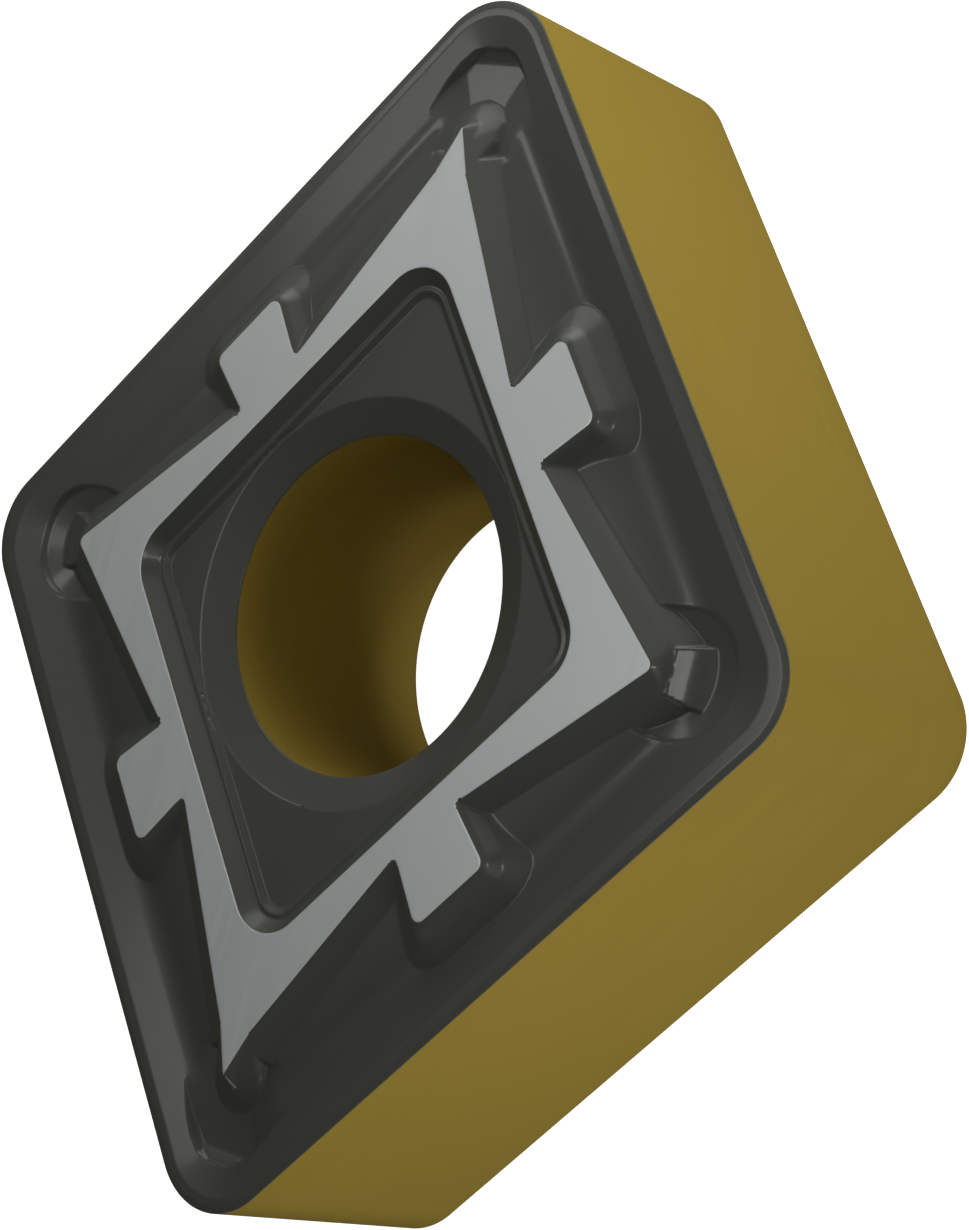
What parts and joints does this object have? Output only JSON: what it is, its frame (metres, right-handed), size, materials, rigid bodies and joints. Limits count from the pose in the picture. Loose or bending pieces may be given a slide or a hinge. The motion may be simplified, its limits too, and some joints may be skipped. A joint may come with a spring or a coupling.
{
  "type": "carbide insert",
  "caption": "Rhombic 80 degree single-sided carbide turning insert with a moulded chip groove, ground top plateau and a central clamping hole.",
  "frame": {"origin": "on the bore axis at the flat back face", "axes": "+Z along the bore axis out of the ground top, +Y along the long diagonal towards an 80 degree nose, +X along the short diagonal"},
  "size_m": [0.0158, 0.0184, 0.0048],
  "materials": {
    "coated_carbide": "dark grey coated top with a bare ground plateau, satin gold coated flanks, bore and back"
  },
  "bodies": {
    "root": {"insert": "coated_carbide"}
  },
  "joints": []
}
